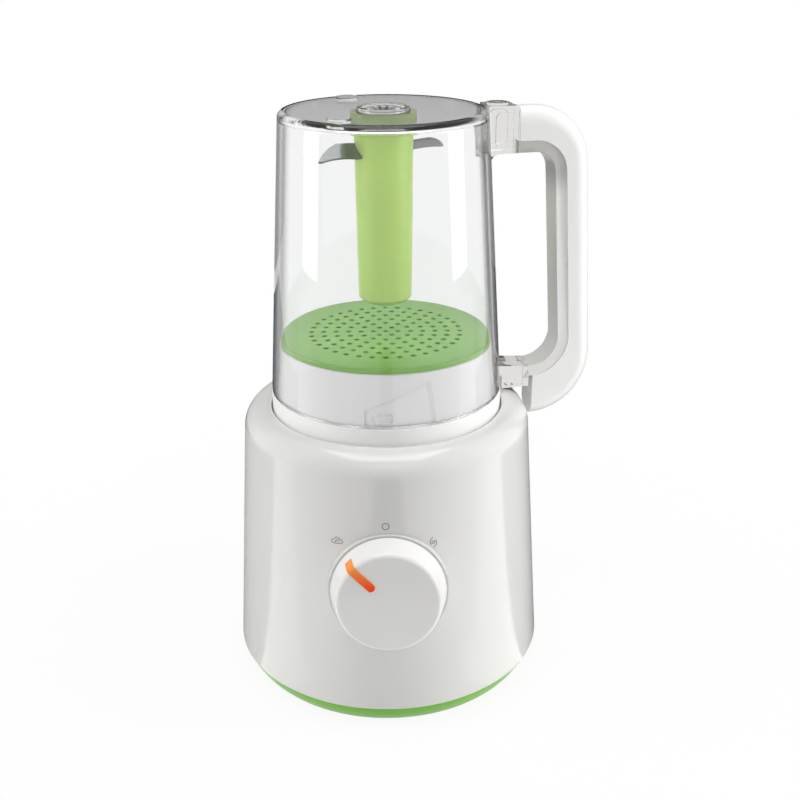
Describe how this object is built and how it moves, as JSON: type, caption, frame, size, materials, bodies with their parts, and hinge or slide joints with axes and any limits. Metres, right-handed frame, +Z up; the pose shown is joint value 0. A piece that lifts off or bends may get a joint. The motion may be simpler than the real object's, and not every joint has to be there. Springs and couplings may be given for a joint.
{
  "type": "baby food maker",
  "caption": "Countertop steamer and blender for baby food: tapered white base with dial and green foot, clear jar standing mouth down on its lid with a side handle, blade column and strainer.",
  "frame": {"origin": "centre of the foot ring on the table", "axes": "+Z up, the dial faces -Y, the handle reaches to +X turned 12 degrees towards +Y"},
  "size_m": [0.1931, 0.1962, 0.301],
  "materials": {
    "white_plastic": "satin moulded",
    "green_plastic": "satin moulded",
    "lime_plastic": "gloss moulded",
    "clear_plastic": "clear polished",
    "orange_plastic": "satin moulded",
    "grey_plastic": "moulded",
    "black_plastic": "moulded",
    "steel": "bright",
    "iron": "laminated",
    "bronze": "sintered",
    "boiler_metal": "satin",
    "dark_rubber": "matte",
    "white_rubber": "matte",
    "silicone": "matte"
  },
  "bodies": {
    "base": {"base_housing": "white_plastic", "base_pan": "green_plastic", "foot_ring": "dark_rubber", "housing_screws": "steel", "cord_gland": "white_rubber", "recess_seal": "silicone", "drive_seal": "silicone", "motor_bracket": "steel", "motor_bushes": "dark_rubber", "motor_screws": "steel", "motor_can": "steel", "motor_stator": "iron", "upper_bearing": "bronze", "lower_bearing": "bronze", "boiler_tank": "boiler_metal", "filler_gasket": "silicone", "heater_plate": "boiler_metal", "thermostat": "black_plastic", "interlock_spring": "steel", "interlock_switch": "black_plastic", "rotary_switch": "black_plastic"},
    "drive": {"motor_shaft": "steel", "motor_rotor": "iron", "cooling_fan": "black_plastic", "drive_coupling": "grey_plastic"},
    "knob": {"control_knob": "white_plastic", "knob_pointer": "orange_plastic", "knob_spindle_rod": "grey_plastic"},
    "jar": {"jar": "clear_plastic", "jar_bush": "bronze", "jar_seal": "silicone", "handle_liner": "clear_plastic", "handle_cover": "white_plastic"},
    "blade": {"blade_hub": "lime_plastic", "blades": "steel", "hub_cap": "lime_plastic", "blade_spindle": "steel", "driven_coupling": "grey_plastic"},
    "lid": {"lid": "white_plastic", "lid_gasket": "silicone"},
    "strainer": {"strainer": "green_plastic"},
    "tank_cap": {"tank_cap": "white_plastic", "cap_gasket": "silicone", "relief_spring": "steel"},
    "relief_valve": {"relief_valve": "grey_plastic"},
    "interlock": {"interlock_pin": "white_plastic"}
  },
  "joints": [
    {"name": "jar_lift", "type": "slide", "parent": "base", "child": "jar", "axis": [0, 0, 1], "range_m": [0, 0.18]},
    {"name": "lid_turn", "type": "hinge", "parent": "jar", "child": "lid", "pos_m": [0, 0, 0.165], "axis": [0, 0, 1], "range_deg": [-20, 0]},
    {"name": "strainer_lift", "type": "slide", "parent": "lid", "child": "strainer", "axis": [0, 0, 1], "range_m": [0, 0.012]},
    {"name": "blade_spin", "type": "hinge", "parent": "jar", "child": "blade", "pos_m": [0, 0, 0.29], "axis": [0, 0, 1], "continuous": true},
    {"name": "drive_spin", "type": "hinge", "parent": "base", "child": "drive", "pos_m": [0, 0, 0.145], "axis": [0, 0, 1], "continuous": true},
    {"name": "knob_turn", "type": "hinge", "parent": "base", "child": "knob", "pos_m": [0, -0.08207, 0.08144], "axis": [0, -0.9945, 0.1045], "range_deg": [-90, 0]},
    {"name": "cap_turn", "type": "hinge", "parent": "base", "child": "tank_cap", "pos_m": [0, 0.04, 0.1412], "axis": [0, 0, 1], "range_deg": [0, 90]},
    {"name": "valve_lift", "type": "slide", "parent": "tank_cap", "child": "relief_valve", "axis": [0, 0, 1], "range_m": [0, 0.002], "stiffness_N_per_m": 300, "springref_m": -0.004, "deforming": ["relief_spring"]},
    {"name": "interlock_press", "type": "slide", "parent": "base", "child": "interlock", "axis": [0, 0, 1], "range_m": [-0.002, 0], "stiffness_N_per_m": 300, "springref_m": 0.004, "deforming": ["interlock_spring"]}
  ]
}
